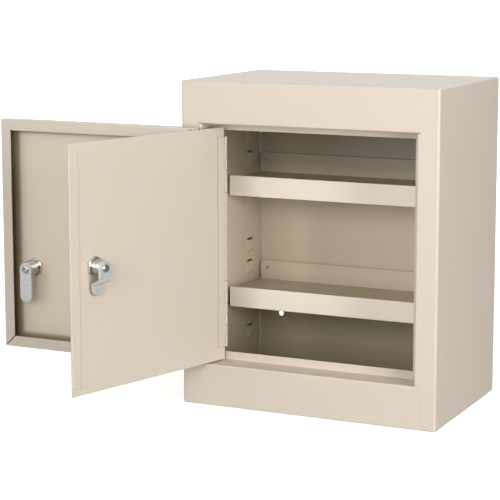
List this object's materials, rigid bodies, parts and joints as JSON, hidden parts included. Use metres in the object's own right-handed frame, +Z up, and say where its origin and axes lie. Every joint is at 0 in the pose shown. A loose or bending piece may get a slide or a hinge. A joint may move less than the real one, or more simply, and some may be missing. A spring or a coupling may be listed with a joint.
{
  "type": "medicine cabinet",
  "caption": "Wall-mounted steel medicine cabinet with a locking flanged outer door, a locking flat inner door behind it, and lift-out shelves on lanced standards.",
  "frame": {"origin": "middle of the cabinet's base", "axes": "+X to the right side seen from the front, +Y to the back (the wall), +Z up; stored with both doors open to the left as in the picture"},
  "size_m": [0.5303, 0.4042, 0.3683],
  "materials": {
    "powder_coat": "beige powder coat, fine satin texture",
    "lock_metal": "bright nickel and zinc plate",
    "hinge_steel": "drawn steel wire"
  },
  "bodies": {
    "cabinet": {"left_side": "powder_coat", "right_side": "powder_coat", "top_panel": "powder_coat", "bottom_panel": "powder_coat", "back_panel": "powder_coat", "left_shelf_standard": "powder_coat", "right_shelf_standard": "powder_coat", "outer_hinge_frame_leaf": "powder_coat", "inner_hinge_frame_leaf": "powder_coat", "outer_hinge_pin": "hinge_steel", "inner_hinge_pin": "hinge_steel"},
    "outer_door": {"outer_door_pan": "powder_coat", "outer_hinge_door_leaf": "powder_coat", "outer_lock_body": "lock_metal", "outer_lock_nut": "lock_metal"},
    "outer_lock_turning": {"outer_lock_plug": "lock_metal", "outer_lock_cam": "lock_metal", "outer_lock_screw": "lock_metal"},
    "inner_door": {"inner_door_panel": "powder_coat", "inner_hinge_door_leaf": "powder_coat", "inner_lock_body": "lock_metal", "inner_lock_nut": "lock_metal"},
    "inner_lock_turning": {"inner_lock_plug": "lock_metal", "inner_lock_cam": "lock_metal", "inner_lock_screw": "lock_metal"},
    "upper_shelf": {"upper_shelf": "powder_coat"},
    "lower_shelf": {"lower_shelf": "powder_coat"}
  },
  "joints": [
    {"name": "outer_door_hinge", "type": "hinge", "parent": "cabinet", "child": "outer_door", "pos_m": [-0.1261, -0.1042, 0.1832], "axis": [0, 0, 1], "range_deg": [0, 180]},
    {"name": "inner_door_hinge", "type": "hinge", "parent": "cabinet", "child": "inner_door", "pos_m": [-0.1123, -0.073, 0.1821], "axis": [0, 0, 1], "range_deg": [0, 106.01]},
    {"name": "outer_lock_turn", "type": "hinge", "parent": "outer_door", "child": "outer_lock_turning", "pos_m": [-0.3454, -0.1068, 0.143], "axis": [0, 1, 0], "range_deg": [0, 90]},
    {"name": "inner_lock_turn", "type": "hinge", "parent": "inner_door", "child": "inner_lock_turning", "pos_m": [-0.1683, -0.26958, 0.184], "axis": [-0.9612, 0.2759, 0], "range_deg": [0, 90]},
    {"name": "upper_shelf_lift", "type": "slide", "parent": "cabinet", "child": "upper_shelf", "axis": [0, 0, 1], "range_m": [0, 0.0085]},
    {"name": "lower_shelf_lift", "type": "slide", "parent": "cabinet", "child": "lower_shelf", "axis": [0, 0, 1], "range_m": [0, 0.0085]}
  ],
  "couplings": [
    {"joint": "inner_door_hinge", "follows": "outer_door_hinge", "ratio": 0.58896}
  ]
}
